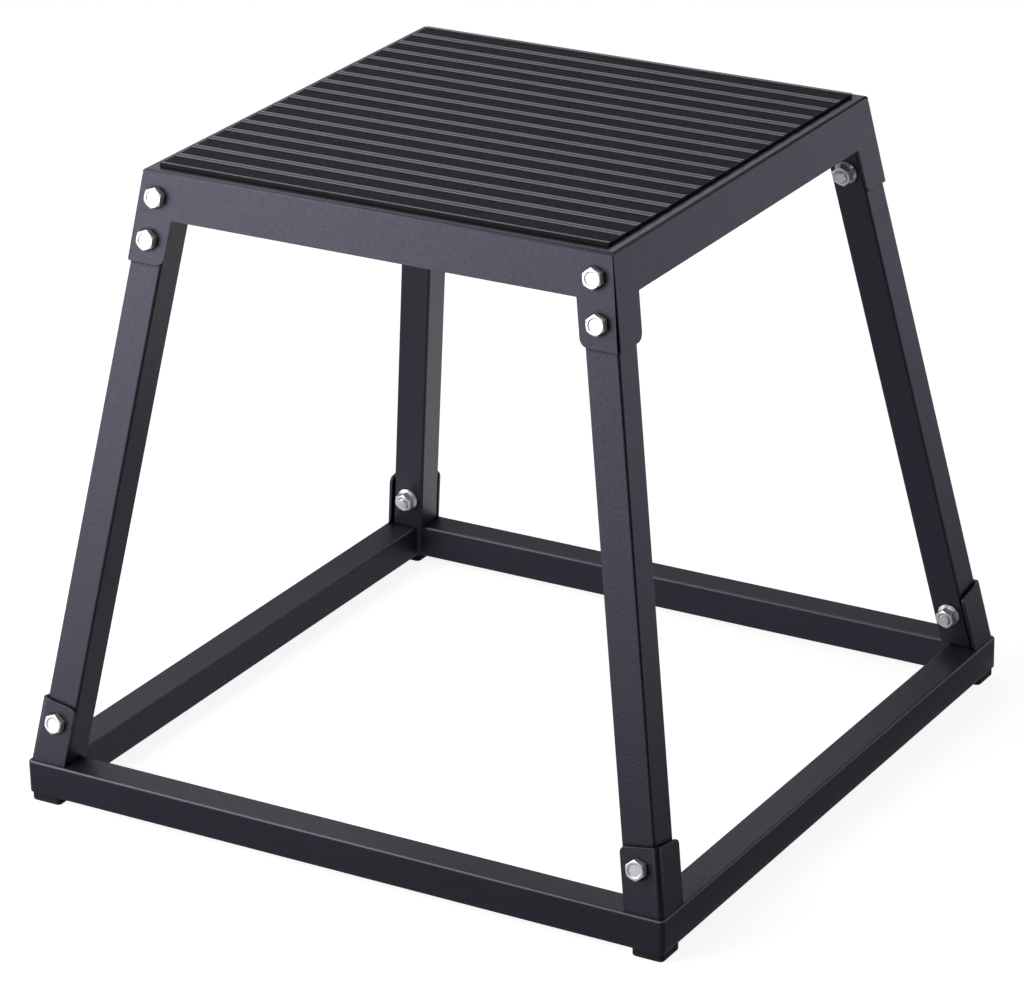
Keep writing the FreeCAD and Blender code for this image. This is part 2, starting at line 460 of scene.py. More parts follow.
@dataclass(frozen=True)
class TreadRubber:
    """Black rubber: matte, grainy lands and smoother ribs that soles have rubbed lighter, with
    painted shade on the sides and in the crests' grooves.
    """

    land: Colour = (0.016, 0.0155, 0.022)
    land_grain: Colour = (0.040, 0.039, 0.052)
    side: Colour = (0.003, 0.003, 0.004)
    # Painted shade on every face that doesn't face up, such as the ribs' sides and the mat's edges.
    crest: Colour = (0.275, 0.27, 0.305)
    # The crests' middle grooves: unworn rubber, painted darker than the lands as painted shade.
    groove: Colour = (0.008, 0.008, 0.010)
    dust: Colour = (0.23, 0.226, 0.256)
    specular: float = 0.2
    land_roughness: float = 0.95
    crest_roughness: float = 0.55
    rib_pitch: float = TREAD_SPAN / TREAD_BAYS
    rib_start: float = TREAD_SPAN / 2
    groove_half: float = 0.0009
    crest_half: float = 0.0030
    blur: float = 0.0002
    top_facing: Range = (0.6, 0.85)
    wear: Grain = Grain(35, 5, (0.45, 0.75))
    specks: Grain = Grain(650, 2, (0.35, 0.7))
    grain: Grain = Grain(1400, 3)
    grain_depth: float = 0.00010

    def make(self) -> bpy.types.Material:
        """Lands, crests and their grooves by the distance from a rib's middle, with painted shade
        in the grooves and on the sides.

        Returns:
            The material.
        """
        sheet = ShaderSheet("tread_rubber_ribbed")
        away = sheet.from_rib(self.rib_start, self.rib_pitch)
        crest = sheet.spread(away, (self.crest_half + self.blur, self.crest_half))
        # Mask of the painted shade in the crests' middle grooves.
        groove = sheet.spread(away, (self.groove_half, self.groove_half - self.blur))
        rubbed = sheet.tint(sheet.patches(self.wear), self.crest, self.dust)
        land = sheet.tint(sheet.patches(self.specks), self.land, self.land_grain)
        rubber = sheet.tint(groove, sheet.tint(crest, land, rubbed), self.groove)
        # Faces that don't face up get the painted shade colour.
        top = sheet.facing_up(self.top_facing)
        sheet.feed("Base Color", sheet.tint(top, self.side, rubber))
        dullness = sheet.spread(crest, (0, 1), self.land_roughness, self.crest_roughness)
        sheet.feed("Roughness", dullness)
        sheet.feed("Normal", sheet.bump(sheet.noise(self.grain), self.grain_depth))
        sheet.set(specular_ior_level=self.specular)
        return sheet.material


@dataclass(frozen=True)
class PadRubber:
    """Moulded black rubber of the pads, a little dusty near the floor."""

    colour: Colour = (0.017, 0.017, 0.019)
    dust: Colour = (0.075, 0.073, 0.070)
    specular: float = 0.3
    roughness: Range = (0.65, 0.8)
    dust_heights: Range = (0.003, 0)
    dust_spots: Grain = Grain(260, 4, (0.4, 0.7))
    dull_spots: Grain = Grain(500, 2)
    grain: Grain = Grain(900, 2)
    grain_depth: float = 0.00006

    def make(self) -> bpy.types.Material:
        """Rubber with dust in spots low down.

        Returns:
            The material.
        """
        sheet = ShaderSheet("pad_rubber_moulded")
        low = sheet.spread(sheet.along("Z"), self.dust_heights)
        dusty = sheet.product(low, sheet.patches(self.dust_spots))
        sheet.feed("Base Color", sheet.tint(dusty, self.colour, self.dust))
        sheet.feed("Roughness", sheet.patches(self.dull_spots, *self.roughness))
        sheet.feed("Normal", sheet.bump(sheet.noise(self.grain), self.grain_depth))
        sheet.set(specular_ior_level=self.specular)
        return sheet.material


@dataclass(frozen=True)
class ZincPlate:
    """Bright zinc plating with faint cloudy patches."""

    colour: Colour = (0.92, 0.925, 0.94)
    dull: Colour = (0.86, 0.865, 0.88)
    metallic: float = 0.65
    roughness: Range = (0.34, 0.42)
    clouds: Grain = Grain(240, 3, (0.4, 0.7))
    dull_spots: Grain = Grain(900, 3)
    grain: Grain = Grain(1600, 2)
    grain_depth: float = 0.000002

    def make(self) -> bpy.types.Material:
        """Plating with clouds and a very fine grain.

        Returns:
            The material.
        """
        sheet = ShaderSheet("zinc_plate_bright")
        sheet.feed("Base Color", sheet.tint(sheet.patches(self.clouds), self.colour, self.dull))
        sheet.feed("Roughness", sheet.patches(self.dull_spots, *self.roughness))
        sheet.feed("Normal", sheet.bump(sheet.noise(self.grain), self.grain_depth))
        sheet.set(metallic=self.metallic)
        return sheet.material


Finishes = dict[Slot, bpy.types.Material]


def everything(bm: BMesh) -> list[BMVert | BMEdge | BMFace]:
    """All of a mesh's vertices, edges and faces."""
    return bm.verts[:] + bm.edges[:] + bm.faces[:]


def face_outwards(bm: BMesh) -> None:
    """Turns a closed solid's faces outwards."""
    bmesh.ops.recalc_face_normals(bm, faces=bm.faces[:])


def run_of(edge: BMEdge) -> Vector:
    """Step from one end of an edge to the other."""
    return edge.verts[1].co - edge.verts[0].co


def slide_to(verts: Iterable[BMVert], height: float, along: Vector) -> None:
    """Slides vertices along a direction on to a level plane.

    Args:
        verts: The vertices.
        height: Height of the plane.
        along: Direction of the slide.
    """
    for vert in verts:
        vert.co += along * ((height - vert.co.z) / along.z)


def round_verts(bm: BMesh, verts: list[BMVert], trim: float, segments: int) -> None:
    """Rounds the corners of a flat outline.

    Args:
        bm: The mesh.
        verts: The corners.
        trim: How much of each side the rounding takes.
        segments: Sides of each rounded corner.
    """
    bmesh.ops.bevel(
        bm, geom=verts, offset=trim, affect="VERTICES", segments=segments, profile=0.5, material=-1)


def round_edges(bm: BMesh, edges: list[BMEdge], trim: float, segments: int) -> None:
    """Rounds edges of a solid.

    Args:
        bm: The mesh.
        edges: The edges.
        trim: How much of each face the rounding takes.
        segments: Strips of each rounded edge.
    """
    bmesh.ops.bevel(
        bm, geom=edges, offset=trim, affect="EDGES", segments=segments, profile=0.5, material=-1,
        clamp_overlap=True)


def ease_edges(bm: BMesh, trim: float, limit: float = math.radians(50), segments: int = 2) -> None:
    """Takes the sharpness off every edge that turns by more than a limit.

    Args:
        bm: The mesh.
        trim: How much of each face is taken.
        limit: Smallest turn that counts as sharp, in radians.
        segments: Strips of each eased edge.
    """
    edges = [edge for edge in bm.edges if edge.is_manifold and edge.calc_face_angle() > limit]
    round_edges(bm, edges, trim, segments)


def cut_across(bm: BMesh, place: Point, facing: Point) -> None:
    """Cuts a mesh along a plane and keeps both sides."""
    bmesh.ops.bisect_plane(bm, geom=everything(bm), plane_co=place, plane_no=facing)


def square_block(bm: BMesh, span: float, low: float, height: float) -> None:
    """Adds a flat square block round the Z axis.

    Args:
        bm: The mesh.
        span: Side of the block.
        low: Height of its underside.
        height: Its thickness.
    """
    size = Matrix.Diagonal((span, span, height, 1))
    middle = Matrix.Translation((0, 0, low + height / 2))
    bmesh.ops.create_cube(bm, size=1, matrix=middle @ size)


def flat_face(bm: BMesh, points: Iterable[Point]) -> BMFace:
    """A face through a few points, to be extruded."""
    return bm.faces.new([bm.verts.new(point) for point in points])


def raise_face(bm: BMesh, faces: list[BMFace], reach: Vector) -> list[BMVert]:
    """Extrudes flat faces into a closed solid.

    Args:
        bm: The mesh.
        faces: The faces.
        reach: How far they move.

    Returns:
        The vertices of the moved end.
    """
    made = bmesh.ops.extrude_face_region(bm, geom=faces)["geom"]
    verts = [item for item in made if isinstance(item, BMVert)]
    bmesh.ops.translate(bm, verts=verts, vec=reach)
    return verts


def square_ring(
    bm: BMesh, corner: Vector, across: Vector, up: Vector, box: BoxSizes
) -> list[BMFace]:
    """Section of the square tube, with rounded corners.

    Args:
        bm: The mesh.
        corner: One sharp corner of the section.
        across: Unit direction of one side.
        up: Unit direction of the other side.
        box: Main sizes.

    Returns:
        The faces of the tube's wall.
    """
    side = across * box.tube
    rise = up * box.tube
    points = [corner, corner + side, corner + side + rise, corner + rise]
    face = flat_face(bm, points)
    round_verts(bm, list(face.verts), box.tube_round, box.tube_steps)
    whole = bm.faces[:]
    bmesh.ops.inset_region(
        bm, faces=whole, thickness=box.tube_wall, use_boundary=True, use_even_offset=True)
    bmesh.ops.delete(bm, geom=whole, context="FACES")
    return bm.faces[:]


def ring_stack(bm: BMesh, segments: int, levels: list[Level], hollow: bool) -> list[BMVert]:
    """Turned or hexagonal solid about the Z axis, ring by ring.

    Args:
        bm: The mesh.
        segments: Points round each ring.
        levels: For each ring, the radius and height at an angle.
        hollow: Whether the last ring joins the first, instead of both ends being closed.

    Returns:
        The solid's vertices.
    """
    old = set(bm.verts)
    start = bmesh.ops.create_circle(bm, cap_ends=False, segments=segments, radius=1.0)["verts"]
    first = list({edge for vert in start for edge in vert.link_edges})
    ring, verts = first, start
    for number, level in enumerate(levels):
        if number:
            made = bmesh.ops.extrude_edge_only(bm, edges=ring)["geom"]
            ring = [item for item in made if isinstance(item, BMEdge)]
            verts = [item for item in made if isinstance(item, BMVert)]
        for vert in verts:
            angle = math.atan2(vert.co.y, vert.co.x)
            radius, height = level(angle)
            vert.co = (radius * math.cos(angle), radius * math.sin(angle), height)
    if hollow:
        bmesh.ops.bridge_loops(bm, edges=first + ring)
    else:
        bmesh.ops.edgeloop_fill(bm, edges=first)
        bmesh.ops.edgeloop_fill(bm, edges=ring)
    return [vert for vert in bm.verts if vert not in old]


@dataclass
class SubAssembly:
    """What every sub-assembly has: the main sizes and the finishes."""

    box: BoxSizes
    finishes: Finishes

    def dress(self, bm: BMesh, name: str, slot: Slot, nodes: Iterable[str]) -> Piece:
        """Makes a mesh a piece with its finish, riding on the box.

        Args:
            bm: The mesh, which is used up.
            name: Name of the piece.
            slot: The record's slot that the finish comes from.
            nodes: Nodes that the piece stands for.

        Returns:
            The piece.
        """
        face_outwards(bm)
        # Only the narrow faces of rounded edges are shaded smooth, so that flat ones stay flat.
        narrow = [2 * face.calc_area() < FLAT_WIDTH * face.calc_perimeter() for face in bm.faces]
        mesh = bpy.data.meshes.new(name)
        bm.to_mesh(mesh)
        bm.free()
        mesh.set_sharp_from_angle(angle=CREASE)
        mesh.polygons.foreach_set("use_smooth", narrow)
        mesh.materials.append(self.finishes[slot])
        piece = bpy.data.objects.new(name, mesh)
        bpy.context.scene.collection.objects.link(piece)
        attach(piece, BODY)
        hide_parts(*nodes)
        return piece

    def at_corners(
        self, build: Callable[[], BMesh], name: str, slot: Slot, node: str
    ) -> list[Piece]:
        """A piece at each corner of the box.

        Args:
            build: Makes the front right mesh.
            name: Name of the pieces, before the corner's.
            slot: The record's slot that the finish comes from.
            node: Name of the nodes that they stand for, before the corner's.

        Returns:
            The pieces.
        """
        made = []
        for corner in Corner:
            bm = build()
            bmesh.ops.transform(bm, matrix=corner.mirror, verts=bm.verts[:])
            made.append(self.dress(bm, f"{name}_{corner.label}", slot, [f"{node}_{corner.label}"]))
        return made


@dataclass
class DeckPan(SubAssembly):
    """Folded steel deck with four sloping flanges and two ears at each corner."""

    fold_outside: float = 0.0022
    flange_drop: float = 0.032
    ear_drop: float = 0.0635
    ear_width: float = 0.0295
    ear_corner: float = 0.0065
    ear_half_angle: float = math.radians(49.7)
    ear_steps: int = 6
    seam_top: float = 0.0008
    seam_foot: float = 0.003
    relief_radius: float = 0.0010
    relief_steps: int = 3
    fold_steps: int = 8
    flat_turn: float = math.radians(0.5)
    edge_ease: float = 0.0006

    def build(self) -> list[Piece]:
        """Folds the deck from one eighth of its sheet.

        Returns:
            The deck.
        """
        bm = bmesh.new()
        self.half_side(bm)
        bmesh.ops.mirror(
            bm, geom=everything(bm), matrix=Matrix.Identity(4), merge_dist=MERGE, axis="X")
        bmesh.ops.spin(
            bm, geom=everything(bm), cent=(0, 0, 0), axis=(0, 0, 1), angle=3 * QUARTER, steps=3,
            use_duplicate=True)
        bmesh.ops.remove_doubles(bm, verts=bm.verts[:], dist=MERGE)
        bmesh.ops.dissolve_limit(
            bm, angle_limit=self.flat_turn, verts=bm.verts[:], edges=bm.edges[:])
        face_outwards(bm)
        if max(bm.faces, key=BMFace.calc_area).normal.z < 0:
            bmesh.ops.reverse_faces(bm, faces=bm.faces[:])
        bmesh.ops.solidify(bm, geom=bm.faces[:], thickness=self.box.sheet)
        ease_edges(bm, self.edge_ease)
        return [self.dress(bm, "folded_deck", Slot.POWDER_COAT, ["deck_pan"])]

    def half_side(self, bm: BMesh) -> None:
        """Right half of the front side, up to the deck's middle and to the corner's mitre.

        Args:
            bm: The mesh.
        """
        box = self.box
        top = box.deck_height
        bend = QUARTER - box.tilt
        set_back = self.fold_outside * math.tan(bend / 2)
        seam_start = top - set_back
        flange_low = top - self.flange_drop
        ear_low = top - self.ear_drop
        widen = math.sqrt(2)

        def on_flange(height: float, from_corner: float) -> BMVert:
            """A vertex on the flange's plane, at a distance from the corner."""
            half = box.half_width(height)
            return bm.verts.new((half - from_corner, -half, height))

        middle = bm.verts.new((0, 0, top))
        fold_middle = on_flange(top, box.half_width(top))
        fold_corner = on_flange(top, 0)
        ear_round = on_flange(ear_low, self.ear_width)
        relief = on_flange(seam_start - self.relief_radius, self.relief_radius * widen)
        outline = [
            fold_middle,
            on_flange(flange_low, box.half_width(flange_low)),
            on_flange(flange_low, self.ear_width),
            ear_round,
            on_flange(ear_low, self.seam_foot / 2 * widen),
            on_flange(seam_start - 2 * self.relief_radius, self.seam_top / 2 * widen),
            relief,
            on_flange(seam_start, 0),
            fold_corner,
        ]
        bm.faces.new((middle, fold_middle, fold_corner))
        bm.faces.new(outline)
        fold = bm.edges.get((fold_middle, fold_corner))
        ear_trim = self.ear_corner / math.tan(self.ear_half_angle)
        round_verts(bm, [ear_round], ear_trim, self.ear_steps)
        round_verts(bm, [relief], self.relief_radius, self.relief_steps)
        round_edges(bm, [fold], set_back, self.fold_steps)


@dataclass
class TreadMat(SubAssembly):
    """Ribbed rubber mat on the deck, with half a rib along its front and rear edges."""

    span: float = TREAD_SPAN
    thickness: float = 0.002
    bays: int = TREAD_BAYS
    rib_width: float = 0.007
    rib_height: float = 0.001
    side_run: float = 0.0006
    groove_width: float = 0.001
    groove_depth: float = 0.0005
    groove_floor: float = 0.0006
    edge_ease: float = 0.00025
    sharp: float = math.radians(35)
    sliver: float = 10 * MERGE

    def build(self) -> list[Piece]:
        """Cuts a plain slab across and lifts its ribs.

        Returns:
            The mat.
        """
        bm = bmesh.new()
        low = self.box.deck_height
        square_block(bm, self.span, low, self.thickness)
        lifts = self.lifts()
        for y, _ in lifts:
            cut_across(bm, (0, y, 0), (0, 1, 0))
        half = self.span / 2
        lifts += [(-half, self.rib_height), (half, self.rib_height)]
        top = [vert for vert in bm.verts if vert.co.z > low + self.thickness / 2]
        for y, lift in lifts:
            for vert in top:
                if abs(vert.co.y - y) < MERGE:
                    vert.co.z = low + self.thickness + lift
        ease_edges(bm, self.edge_ease, self.sharp)
        bmesh.ops.dissolve_degenerate(bm, dist=self.sliver, edges=bm.edges[:])
        return [self.dress(bm, "ribbed_tread", Slot.TREAD_RUBBER, ["tread_mat"])]

    def lifts(self) -> list[tuple[float, float]]:
        """Lines across the mat where its top changes height, apart from its two ends.

        Returns:
            Each line's place along Y and its height over the lands.
        """
        half = self.span / 2
        crest = self.rib_width / 2
        cuts = {
            crest + self.side_run: 0.0,
            crest: self.rib_height,
            self.groove_width / 2: self.rib_height,
            self.groove_floor / 2: self.rib_height - self.groove_depth,
        }
        lifts = []
        for rib in range(self.bays + 1):
            middle = rib * self.span / self.bays - half
            for away, lift in cuts.items():
                # The half ribs at the ends have no groove.
                inside = [y for y in (middle - away, middle + away) if half - abs(y) > crest / 2]
                lifts += [(y, lift) for y in inside]
        return lifts


@dataclass
class Legs(SubAssembly):
    """Four square-tube legs that lean in two directions."""

    top_gap: float = 0.0043

    def build(self) -> list[Piece]:
        """A leg at each corner."""
        return self.at_corners(self.leg, "tube_leg", Slot.POWDER_COAT, "leg")

    def leg(self) -> BMesh:
        """Front right leg, cut level at the base frame and under the deck.

        Returns:
            The leg's mesh.
        """
        box = self.box
        bm = bmesh.new()
        across, inward, up = (Vector(row) for row in Matrix.Identity(3))
        ring = square_ring(bm, across * -box.tube, across, inward, box)
        foot = bm.verts[:]
        top = raise_face(bm, ring, up)
        bmesh.ops.transform(bm, matrix=box.leg_frame, verts=bm.verts[:])
        slide_to(foot, box.rail_top, box.leg_up)
        slide_to(top, box.deck_height - self.top_gap, box.leg_up)
        return bm


@dataclass
class LegSockets(SubAssembly):
    """Folded angle plates on the base frame that hold the legs' outer corners."""

    leaf: float = 0.029
    height: float = 0.0475
    corner: float = 0.004
    corner_steps: int = 5
    fold_steps: int = 8
    side_gap: float = 0.001
    edge_ease: float = 0.0004

    def build(self) -> list[Piece]:
        """A socket at each corner."""
        return self.at_corners(self.socket, "corner_socket", Slot.POWDER_COAT, "leg_socket")

    def socket(self) -> BMesh:
        """Front right socket, cut level on the base frame.

        Returns:
            The socket's mesh.
        """
        box = self.box
        bm = bmesh.new()
        wall = box.socket_wall
        right = self.side_gap + wall
        left = right - self.leaf
        rear = self.leaf - wall
        high = box.leg_foot + self.height
        face = flat_face(bm, [
            (left, -wall, 0), (right, -wall, 0), (right, rear, 0),
            (self.side_gap, rear, 0), (self.side_gap, 0, 0), (left, 0, 0)])
        _, outside, _, _, inside, _ = face.verts
        round_verts(bm, [outside], box.tube_round + wall, self.fold_steps)
        round_verts(bm, [inside], box.tube_round, self.fold_steps)
        foot = bm.verts[:]
        top = raise_face(bm, bm.faces[:], Vector((0, 0, 1)))
        for vert in top:
            vert.co.z = high
        for vert in foot:
            vert.co.z = box.leg_foot - box.tube
        ends = [
            edge for edge in bm.edges
            if all(vert in top for vert in edge.verts)
            and (all(vert.co.x < left + MERGE for vert in edge.verts)
                 or all(vert.co.y > rear - MERGE for vert in edge.verts))
        ]
        round_edges(bm, ends, self.corner, self.corner_steps)
        face_outwards(bm)
        ease_edges(bm, self.edge_ease)
        low = [vert for vert in bm.verts if vert.co.z < high - self.height]
        bmesh.ops.transform(bm, matrix=box.leg_frame, verts=bm.verts[:])
        slide_to(low, box.rail_top, box.leg_up)
        return bm


@dataclass
class BaseFrame(SubAssembly):
    """Square frame of four flat-laid tubes, welded and ground at its corners."""

    rail_width: float = 0.035

    def build(self) -> list[Piece]:
        """Cuts the frame from a flat block and rounds its edges as the tube's are.

        Returns:
            The frame.
        """
        box = self.box
        bm = bmesh.new()
        square_block(bm, box.base_span, box.foot_height, box.tube)
        level = [face for face in bm.faces if abs(face.normal.z) > 0.5]
        bmesh.ops.inset_individual(bm, faces=level, thickness=self.rail_width)
        rims = [edge for face in level for edge in face.edges]
        bmesh.ops.delete(bm, geom=level, context="FACES_ONLY")
        bmesh.ops.bridge_loops(bm, edges=rims)
        upright = [edge for edge in bm.edges if run_of(edge).xy.length < MERGE]
        round_edges(bm, upright, box.base_corner, box.tube_steps)
        face_outwards(bm)
        rails = [
            edge for edge in bm.edges
            if edge.calc_face_angle() > CREASE and abs(run_of(edge).z) < MERGE
        ]
        round_edges(bm, rails, box.tube_round, box.tube_steps)
        nodes = [f"base_rail_{side}" for side in ("front", "right", "rear", "left")]
        return [self.dress(bm, "base_tube_frame", Slot.POWDER_COAT, nodes)]


@dataclass
class Feet(SubAssembly):
    """Moulded rubber pads under the corners of the base frame."""

    span: float = 0.024
    inset: float = 0.0012
    corner: float = 0.0035
    corner_steps: int = 5
    lower_edge: float = 0.0014
    lower_steps: int = 3
    parting: float = 0.0003

    def build(self) -> list[Piece]:
        """A pad at each corner."""
        return self.at_corners(self.pad, "rubber_pad", Slot.FOOT_RUBBER, "foot")

    def pad(self) -> BMesh:
        """Front right pad, with the mould's parting line round its middle.

        Returns:
            The pad's mesh.
        """
        box = self.box
        bm = bmesh.new()
        outer = box.base_span / 2 - self.inset
        inner = outer - self.span
        centre = Vector(((outer + inner) / 2, -(outer + inner) / 2, 0))
        face = flat_face(bm, [
            (inner, -outer, 0), (outer, -outer, 0), (outer, -inner, 0), (inner, -inner, 0)])
        round_verts(bm, list(face.verts), self.corner, self.corner_steps)
        rim = bm.edges[:]
        raise_face(bm, bm.faces[:], Vector((0, 0, box.foot_height)))
        face_outwards(bm)
        round_edges(bm, rim, self.lower_edge, self.lower_steps)
        middle = box.foot_height / 2
        for height in (middle - self.parting, middle, middle + self.parting):
            cut_across(bm, (0, 0, height), (0, 0, 1))
        line = [vert for vert in bm.verts if abs(vert.co.z - middle) < MERGE]
        shrink = 1 - 2 * self.parting / self.span
        bmesh.ops.scale(
            bm, vec=(shrink, shrink, 1), verts=line, space=Matrix.Translation(-centre))
        return bm


@dataclass
class Fasteners(SubAssembly):
    """Hexagon bolts through the legs, with flange nuts on their ends."""

    diameter: float = 0.008
    across: float = 0.013
    head_height: float = 0.0053
    dish_floor: float = 0.0042
    dish_rim: float = 0.0050
    dish_depth: float = 0.0005
    face_share: float = 0.95
    chamfer_angle: float = math.radians(30)
    nut_height: float = 0.008
    flange: float = 0.017
    flange_rim: float = 0.0008
    rim_in: float = 0.0008 / 4
    rim_up: float = 0.0008 / 3
    flange_height: float = 0.0026
    thread_end: float = 0.0015
    thread_depth: float = 0.0004
    thread_half_turns: int = 7
    countersink: float = 0.0009
    pitch: float = 0.00125
    slack: float = 0.0002
    upper_drop: float = 0.0165
    lower_drop: float = 0.0465
    base_rise: float = 0.033
    segments: int = 48

    def build(self) -> list[Piece]:
        """Bolts and nuts at the deck's ears and at the sockets.

        Returns:
            The bolts and the nuts of the deck, and those of the base.
        """
        box = self.box
        deck = (-self.upper_drop, -self.lower_drop)
        base = (box.leg_foot + self.base_rise,)
        made = []
        for name, plate, stations in (("deck", box.sheet, deck), ("base", box.socket_wall, base)):
            grip = plate + box.tube
            bolts = self.fastened(lambda bm: self.bolt(bm, grip), plate, stations)
            made.append(self.dress(bolts, f"hex_bolts_{name}", Slot.ZINC_PLATE, [f"{name}_bolts"]))
            nuts = self.fastened(lambda bm: self.nut(bm, grip), plate, stations)
            made.append(self.dress(nuts, f"flange_nuts_{name}", Slot.ZINC_PLATE, [f"{name}_nuts"]))
        return made

    def fastened(
        self, build: Callable[[BMesh], list[BMVert]], plate: float, stations: tuple[float, ...]
    ) -> BMesh:
        """A fastener at each place along every leg.

        Args:
            build: Adds one fastener along Z to a mesh and gives its vertices.
            plate: Thickness of the plate under the bolt's head.
            stations: Places along the leg's own z.

        Returns:
            The mesh of all of them.
        """
        bm = bmesh.new()
        across = Matrix.Rotation(-QUARTER, 4, "X")
        for corner in Corner:
            for station in stations:
                place = Matrix.Translation((-self.box.tube / 2, -plate, station)) @ across
                place = corner.mirror @ self.box.leg_frame @ place
                bmesh.ops.transform(bm, matrix=place, verts=build(bm))
        return bm

    @property
    def face(self) -> float:
        """Radius of the flat face inside a head's or nut's chamfer."""
        return self.face_share * self.across / 2

    def hexagon(self, angle: float) -> float:
        """Distance from the axis to the hexagon's side at an angle."""
        from_flat = (angle - QUARTER) % (TURN / 6) - TURN / 12
        return self.across / 2 / math.cos(from_flat)

    def chamfer(self, angle: float) -> float:
        """How far the turned chamfer takes the hexagon's end down at an angle."""
        return (self.hexagon(angle) - self.face) * math.tan(self.chamfer_angle)

    def bolt(self, bm: BMesh, grip: float) -> list[BMVert]:
        """Bolt along Z, with its head below zero.

        Args:
            bm: The mesh.
            grip: Thickness of what the bolt clamps.

        Returns:
            The bolt's vertices.
        """
        shank = self.diameter / 2
        root = shank - self.thread_depth
        end = grip + self.nut_height + self.thread_end
        levels: list[Level] = [
            lambda angle: (self.dish_floor, self.dish_depth - self.head_height),
            lambda angle: (self.dish_rim, -self.head_height),
            lambda angle: (self.face, -self.head_height),
            lambda angle: (self.hexagon(angle), self.chamfer(angle) - self.head_height),
            lambda angle: (self.hexagon(angle), -self.chamfer(angle) / 2),
            lambda angle: (self.face, 0.0),
            lambda angle: (shank, 0.0),
        ]
        thread_start = end - self.thread_half_turns * self.pitch / 2
        for half_turn in range(self.thread_half_turns):
            radius = root if half_turn % 2 else shank
            height = thread_start + half_turn * self.pitch / 2
            levels.append(lambda angle, radius=radius, height=height: (radius, height))
        levels.append(lambda angle: (root, end))
        return ring_stack(bm, self.segments, levels, hollow=False)

    def nut(self, bm: BMesh, grip: float) -> list[BMVert]:
        """Flange nut on a bolt along Z, with its flange against the far side of the grip.

        Args:
            bm: The mesh.
            grip: Thickness of what the bolt clamps.

        Returns:
            The nut's vertices.
        """
        bore = self.diameter / 2 + self.slack
        rim = self.flange / 2
        top = grip + self.nut_height
        levels: list[Level] = [
            lambda angle: (bore, grip),
            lambda angle: (rim - self.rim_in, grip),
            lambda angle: (rim, grip + self.rim_up),
            lambda angle: (rim, grip + self.flange_rim),
            lambda angle: (self.hexagon(angle), grip + self.flange_height),
            lambda angle: (self.hexagon(angle), top - self.chamfer(angle)),
            lambda angle: (self.face, top),
            lambda angle: (bore + self.countersink, top),
            lambda angle: (bore, top - self.countersink),
        ]
        return ring_stack(bm, self.segments, levels, hollow=True)


@dataclass(frozen=True)
class SoftBox:
    """A square soft light that faces a point."""

    name: str
    place: Point
    aim: Point
    side: float
    power: float

    def build(self) -> None:
        """Hangs the light."""
        lamp = bpy.data.lights.new(self.name, "AREA")
        lamp.shape = "SQUARE"
        lamp.size = self.side
        lamp.energy = self.power
        light = bpy.data.objects.new(self.name, lamp)
        light.location = self.place
        facing = Vector(self.aim) - light.location
        light.rotation_euler = facing.to_track_quat("-Z", "Y").to_euler()
        bpy.context.scene.collection.objects.link(light)


def lay_sheet(name: str, place: Matrix, colour: Colour) -> bpy.types.Object:
    """Lays a matte sheet that isn't part of the box.

    Args:
        name: Name of the sheet.
        place: Its place, turn and spans.
        colour: Its colour.

    Returns:
        The sheet.
    """
    bm = bmesh.new()
    bmesh.ops.create_grid(bm, x_segments=1, y_segments=1, size=0.5, matrix=place)
    mesh = bpy.data.meshes.new(name)
    bm.to_mesh(mesh)
    bm.free()
    material = bpy.data.materials.new(name)
    material.use_nodes = True
    shader = material.node_tree.nodes["Principled BSDF"]
    shader.inputs["Base Color"].default_value = (*colour, 1)
    shader.inputs["Roughness"].default_value = 1.0
    shader.inputs["Specular IOR Level"].default_value = 0.0
    mesh.materials.append(material)
    sheet = bpy.data.objects.new(name, mesh)
    bpy.context.scene.collection.objects.link(sheet)
    return sheet


@dataclass(frozen=True)
class Flag:
    """A glowing sheet on the floor, upright beside the box or overhead, seen only in the box's
    gloss, where it paints shade and light.
    """

    name: str
    place: Point
    spans: tuple[float, float]
    level: float
    tint: Colour = (0.92, 0.91, 1.03)
    lift: float = 0.0002

    def build(self) -> None:
        """Sets the sheet, which gives the gloss its level as painted light or shade and throws no
        shadow.
        """
        place = Vector(self.place)
        lift = Vector((0, 0, self.lift))
        turn = Matrix.Identity(4)
        if place.z > lift.z and place.xy.length > lift.z:
            turn = Vector((*place.xy, 0)).to_track_quat("Z", "Y").to_matrix().to_4x4()
        spans = Matrix.Diagonal((*self.spans, 1, 1))
        sheet = lay_sheet(self.name, Matrix.Translation(place + lift) @ turn @ spans, (0, 0, 0))
        shader = sheet.active_material.node_tree.nodes["Principled BSDF"]
        shader.inputs["Emission Color"].default_value = (*self.tint, 1)
        shader.inputs["Emission Strength"].default_value = self.level
        sheet.visible_camera = False
        sheet.visible_diffuse = False
        sheet.visible_transmission = False
        sheet.visible_shadow = False


